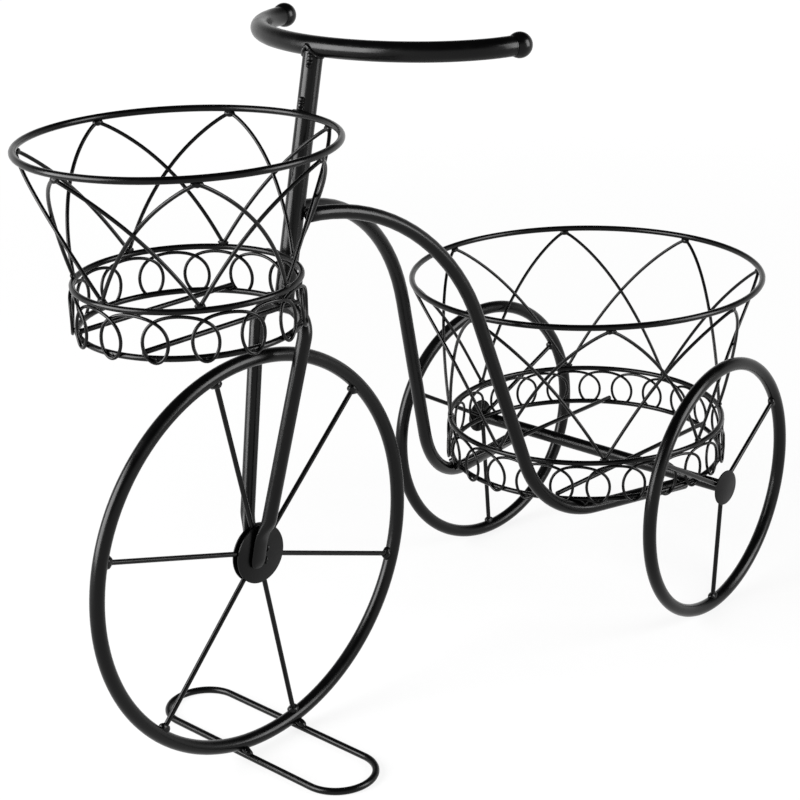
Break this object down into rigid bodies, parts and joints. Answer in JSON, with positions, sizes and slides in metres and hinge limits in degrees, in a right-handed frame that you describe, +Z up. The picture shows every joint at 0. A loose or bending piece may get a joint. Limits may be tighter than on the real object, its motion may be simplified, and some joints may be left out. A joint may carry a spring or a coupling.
{
  "type": "bicycle planter",
  "caption": "Black wire tricycle plant stand: large spoked front wheel with a foot loop, curved handlebar, and open lattice baskets over the front and rear wheels.",
  "frame": {"origin": "on the ground, under the middle of the overall length and width", "axes": "+X towards the rear wheels, +Y towards the planter's right side, +Z up"},
  "size_m": [0.772, 0.332, 0.5833],
  "materials": {
    "foot_loop": "gloss black powder coat",
    "fork": "gloss black powder coat",
    "frame_rail_left": "gloss black powder coat",
    "frame_rail_right": "gloss black powder coat",
    "front_basket_band_ring": "gloss black powder coat",
    "front_basket_bottom_ring": "gloss black powder coat",
    "front_basket_floor_bar_1": "gloss black powder coat",
    "front_basket_floor_bar_2": "gloss black powder coat",
    "front_basket_lattice": "gloss black powder coat",
    "front_basket_scroll_band": "gloss black powder coat",
    "front_basket_top_ring": "gloss black powder coat",
    "front_hub_plate_left": "satin black powder coat",
    "front_hub_plate_right": "satin black powder coat",
    "front_wheel_rim": "gloss black powder coat",
    "front_wheel_spoke_1": "gloss black powder coat",
    "front_wheel_spoke_2": "gloss black powder coat",
    "front_wheel_spoke_3": "gloss black powder coat",
    "front_wheel_spoke_4": "gloss black powder coat",
    "front_wheel_spoke_5": "gloss black powder coat",
    "front_wheel_spoke_6": "gloss black powder coat",
    "handlebar": "gloss black powder coat",
    "handlebar_cap_left": "gloss black powder coat",
    "handlebar_cap_right": "gloss black powder coat",
    "rear_axle": "gloss black powder coat",
    "rear_basket_band_ring": "gloss black powder coat",
    "rear_basket_bottom_ring": "gloss black powder coat",
    "rear_basket_floor_bar_1": "gloss black powder coat",
    "rear_basket_floor_bar_2": "gloss black powder coat",
    "rear_basket_lattice_1": "gloss black powder coat",
    "rear_basket_lattice_2": "gloss black powder coat",
    "rear_basket_scroll_band": "gloss black powder coat",
    "rear_basket_top_ring": "gloss black powder coat",
    "rear_hub_plate_left": "satin black powder coat",
    "rear_hub_plate_right": "satin black powder coat",
    "rear_wheel_rim_left": "gloss black powder coat",
    "rear_wheel_rim_right": "gloss black powder coat",
    "rear_wheel_spoke_left_1": "gloss black powder coat",
    "rear_wheel_spoke_left_2": "gloss black powder coat",
    "rear_wheel_spoke_left_3": "gloss black powder coat",
    "rear_wheel_spoke_right_1": "gloss black powder coat",
    "rear_wheel_spoke_right_2": "gloss black powder coat",
    "rear_wheel_spoke_right_3": "gloss black powder coat",
    "steering_column": "gloss black powder coat"
  },
  "bodies": {
    "root": {"foot_loop": "foot_loop", "fork": "fork", "frame_rail_left": "frame_rail_left", "frame_rail_right": "frame_rail_right", "front_basket_band_ring": "front_basket_band_ring", "front_basket_bottom_ring": "front_basket_bottom_ring", "front_basket_floor_bar_1": "front_basket_floor_bar_1", "front_basket_floor_bar_2": "front_basket_floor_bar_2", "front_basket_lattice": "front_basket_lattice", "front_basket_scroll_band": "front_basket_scroll_band", "front_basket_top_ring": "front_basket_top_ring", "front_hub_plate_left": "front_hub_plate_left", "front_hub_plate_right": "front_hub_plate_right", "front_wheel_rim": "front_wheel_rim", "front_wheel_spoke_1": "front_wheel_spoke_1", "front_wheel_spoke_2": "front_wheel_spoke_2", "front_wheel_spoke_3": "front_wheel_spoke_3", "front_wheel_spoke_4": "front_wheel_spoke_4", "front_wheel_spoke_5": "front_wheel_spoke_5", "front_wheel_spoke_6": "front_wheel_spoke_6", "handlebar": "handlebar", "handlebar_cap_left": "handlebar_cap_left", "handlebar_cap_right": "handlebar_cap_right", "rear_axle": "rear_axle", "rear_basket_band_ring": "rear_basket_band_ring", "rear_basket_bottom_ring": "rear_basket_bottom_ring", "rear_basket_floor_bar_1": "rear_basket_floor_bar_1", "rear_basket_floor_bar_2": "rear_basket_floor_bar_2", "rear_basket_lattice_1": "rear_basket_lattice_1", "rear_basket_lattice_2": "rear_basket_lattice_2", "rear_basket_scroll_band": "rear_basket_scroll_band", "rear_basket_top_ring": "rear_basket_top_ring", "rear_hub_plate_left": "rear_hub_plate_left", "rear_hub_plate_right": "rear_hub_plate_right", "rear_wheel_rim_left": "rear_wheel_rim_left", "rear_wheel_rim_right": "rear_wheel_rim_right", "rear_wheel_spoke_left_1": "rear_wheel_spoke_left_1", "rear_wheel_spoke_left_2": "rear_wheel_spoke_left_2", "rear_wheel_spoke_left_3": "rear_wheel_spoke_left_3", "rear_wheel_spoke_right_1": "rear_wheel_spoke_right_1", "rear_wheel_spoke_right_2": "rear_wheel_spoke_right_2", "rear_wheel_spoke_right_3": "rear_wheel_spoke_right_3", "steering_column": "steering_column"}
  },
  "joints": []
}
